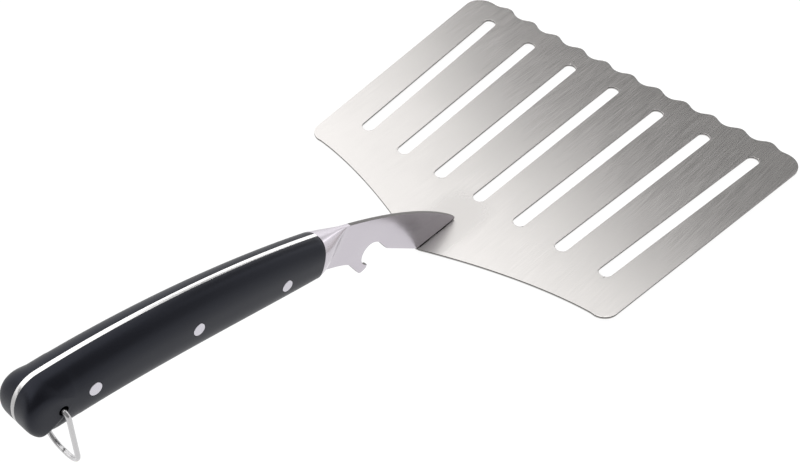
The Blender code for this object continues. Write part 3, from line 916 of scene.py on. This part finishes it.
bm = bmesh.new()
bmesh.ops.create_circle(bm, cap_ends=True, radius=FLOOR_REACH, segments=96)
floor_mat = bpy.data.materials.new("pale floor")
floor_mat.use_nodes = True
nodes, links = floor_mat.node_tree.nodes, floor_mat.node_tree.links
shader = nodes["Principled BSDF"]
shader.inputs["Base Color"].default_value = (*FLOOR_COLOUR, 1)
shader.inputs["Roughness"].default_value = 1.0
shader.inputs["Specular IOR Level"].default_value = 0.0
shader.inputs["Emission Color"].default_value = (1, 1, 1, 1)
shader.inputs["Emission Strength"].default_value = FLOOR_GLOW
floor = object_from("floor", bm, (floor_mat,))
floor.location.z = -FLOOR_DROP

world = bpy.data.worlds.new("studio")
bpy.context.scene.world = world
world.use_nodes = True
nodes, links = world.node_tree.nodes, world.node_tree.links
nodes.clear()


def maths(operation, a, b):
    """One arithmetic step on world values; each input is a socket or a number."""
    node = nodes.new("ShaderNodeMath")
    node.operation = operation
    for socket, value in zip(node.inputs, (a, b)):
        if isinstance(value, (int, float)):
            socket.default_value = value
        else:
            links.new(value, socket)
    return node.outputs[0]


def step_up(value, start, end):
    """0 below start, 1 above end, smooth between; start may be above end."""
    node = nodes.new("ShaderNodeMapRange")
    node.interpolation_type = "SMOOTHSTEP"
    node.inputs["From Min"].default_value = start
    node.inputs["From Max"].default_value = end
    links.new(value, node.inputs["Value"])
    return node.outputs["Result"]


def chain(operation, first, *others):
    """The same step applied from the first value through all the others."""
    for other in others:
        first = maths(operation, first, other)
    return first


def light(strength, *fades):
    """A light that keeps its strength where each measure of direction is past its fade."""
    return chain("MULTIPLY", strength, *(step_up(*fade) for fade in fades))


# Along and across are a direction's two slopes away from straight up: toward the blade's front edge
# and to its left, turned by HEADING. Each fade is a measure of direction, its start and its end.
HEADING = math.radians(-7)
LEAST_RISE = 0.02
AMBIENT = 0.13
NORTH_FLOOR = 2.0  # the northern light's share at the horizon, against 3 higher up

direction = nodes.new("ShaderNodeTexCoord").outputs["Generated"]
parts = nodes.new("ShaderNodeSeparateXYZ")
links.new(direction, parts.inputs[0])
east, north, up = parts.outputs
rise = maths("MAXIMUM", up, LEAST_RISE)
cosine, sine = math.cos(HEADING), math.sin(HEADING)
forward = maths("ADD", maths("MULTIPLY", east, cosine), maths("MULTIPLY", north, sine))
leftward = maths("SUBTRACT", maths("MULTIPLY", north, cosine), maths("MULTIPLY", east, sine))
along = maths("DIVIDE", forward, rise)
across = maths("DIVIDE", leftward, rise)

overhead = light(1.8, (along, 0.955, 0.785), (along, -1.6, -0.8),
                 (across, -0.3, 0.0), (up, 0.05, 0.25))
north_rise = maths("ADD", step_up(up, 0.05, 0.3), NORTH_FLOOR)
northern = maths("MULTIPLY", light(0.62, (across, 1.12, 1.4)), north_rise)
eastern = light(1.25, (along, 1.9, 3.0), (east, 0.5, 0.75))
southern = light(0.2, (across, 0.15, -0.1), (up, 0.1, 0.5))
frontal = light(0.14, (along, 0.85, 1.15))
kicker = light(1.1, (along, 1.0, 1.14), (across, -1.1, -0.6), (across, 0.15, -0.1))
behind = light(0.15, (east, 0.0, -0.4))
boxes = chain("MAXIMUM", overhead, northern, eastern)
glow = chain("ADD", boxes, southern, frontal, kicker, behind, AMBIENT)

# The camera sees plain white round the floor
seen = nodes.new("ShaderNodeLightPath").outputs["Is Camera Ray"]
unseen = maths("SUBTRACT", 1.0, seen)
pale = maths("ADD", seen, maths("MULTIPLY", unseen, glow))
background = nodes.new("ShaderNodeBackground")
output = nodes.new("ShaderNodeOutputWorld")
links.new(pale, background.inputs["Strength"])
links.new(background.outputs[0], output.inputs[0])

# Camera

CAMERA_AT = Vector((-0.2589, -0.2259, 0.3706))
CAMERA_AIM = Vector((0.0149, 0.0127, 0.0))
CAMERA_ROLL = math.radians(1.46)
CAMERA_LENS = 52.4
CAMERA_SENSOR = 36.0
CAMERA_NEAR = 0.01

camera = bpy.data.objects.new("camera", bpy.data.cameras.new("camera"))
bpy.context.scene.collection.objects.link(camera)
camera.data.lens = CAMERA_LENS
camera.data.sensor_width = CAMERA_SENSOR
camera.data.clip_start = CAMERA_NEAR
camera.location = CAMERA_AT
camera.rotation_mode = "QUATERNION"
facing = (CAMERA_AIM - CAMERA_AT).to_track_quat("-Z", "Y")
camera.rotation_quaternion = facing @ Quaternion((0, 0, 1), CAMERA_ROLL)
bpy.context.scene.camera = camera
bpy.context.scene.view_settings.view_transform = "Standard"
